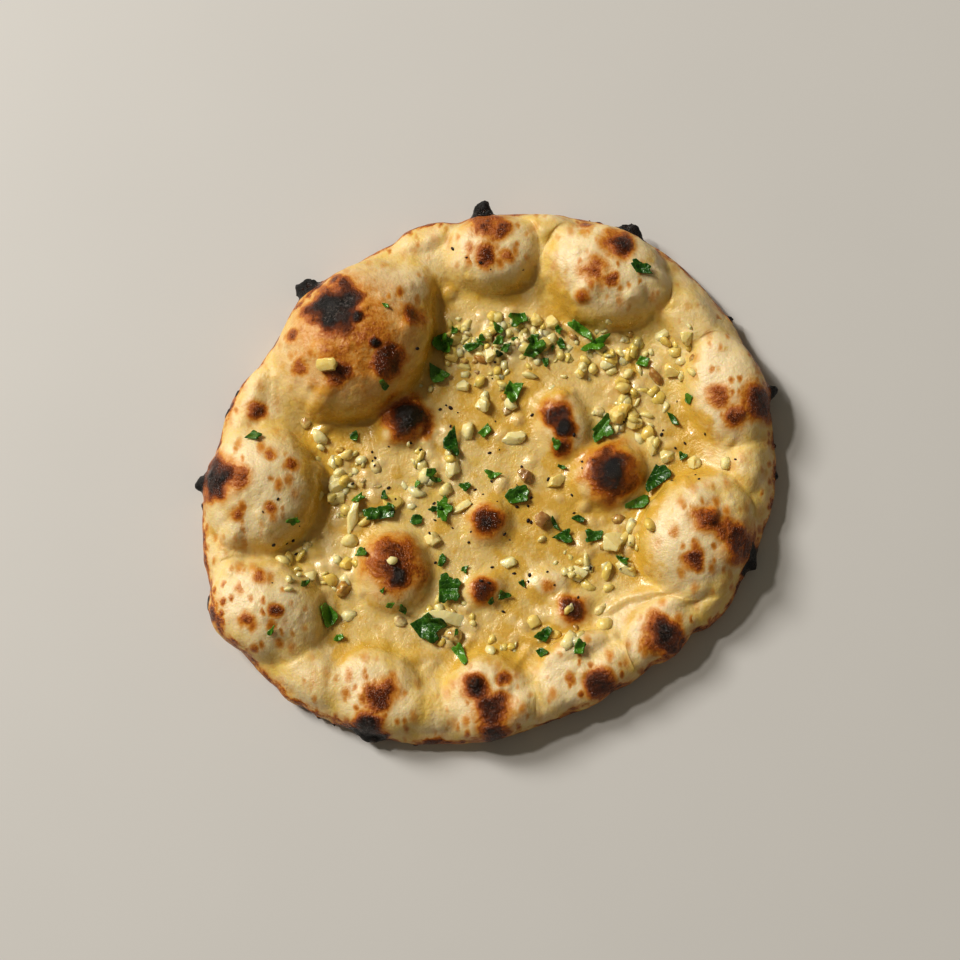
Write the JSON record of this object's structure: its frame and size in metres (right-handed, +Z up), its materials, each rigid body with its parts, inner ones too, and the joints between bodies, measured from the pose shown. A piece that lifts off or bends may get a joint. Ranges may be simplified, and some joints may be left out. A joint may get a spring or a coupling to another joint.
{
  "type": "naan bread",
  "caption": "Flat leavened bread with a puffed, charred, blistered rim, strewn with chopped garlic and torn coriander leaf.",
  "frame": {"origin": "the middle of the flat underside that the bread rests on", "axes": "+X along the longer side of the outline, +Y across it towards the side with the largest rim blister, +Z up out of the blistered face"},
  "size_m": [0.2012, 0.1893, 0.0304],
  "materials": {
    "crust": "satin",
    "garlic": "gloss",
    "coriander": "satin"
  },
  "bodies": {
    "root": {"naan_bread": "crust", "coriander_01": "coriander", "coriander_02": "coriander", "coriander_03": "coriander", "coriander_04": "coriander", "coriander_05": "coriander", "coriander_06": "coriander", "coriander_07": "coriander", "coriander_08": "coriander", "coriander_09": "coriander", "coriander_10": "coriander", "coriander_11": "coriander", "coriander_12": "coriander", "coriander_13": "coriander", "coriander_14": "coriander", "coriander_15": "coriander", "coriander_16": "coriander", "coriander_17": "coriander", "coriander_18": "coriander", "coriander_19": "coriander", "coriander_20": "coriander", "garlic_01": "garlic", "garlic_02": "garlic", "garlic_03": "garlic", "garlic_04": "garlic", "garlic_05": "garlic", "garlic_06": "garlic", "garlic_07": "garlic", "garlic_08": "garlic", "garlic_09": "garlic", "garlic_10": "garlic", "garlic_11": "garlic", "garlic_12": "garlic", "garlic_13": "garlic", "garlic_14": "garlic", "garlic_15": "garlic", "garlic_16": "garlic", "garlic_17": "garlic", "garlic_18": "garlic", "garlic_19": "garlic", "garlic_20": "garlic", "garlic_21": "garlic", "garlic_22": "garlic", "garlic_23": "garlic", "garlic_24": "garlic", "garlic_25": "garlic", "garlic_26": "garlic", "garlic_27": "garlic", "garlic_28": "garlic", "garlic_29": "garlic", "garlic_30": "garlic", "garlic_31": "garlic", "garlic_32": "garlic", "garlic_33": "garlic", "garlic_34": "garlic", "garlic_35": "garlic", "garlic_36": "garlic", "garlic_37": "garlic", "garlic_38": "garlic", "garlic_39": "garlic"}
  },
  "joints": []
}
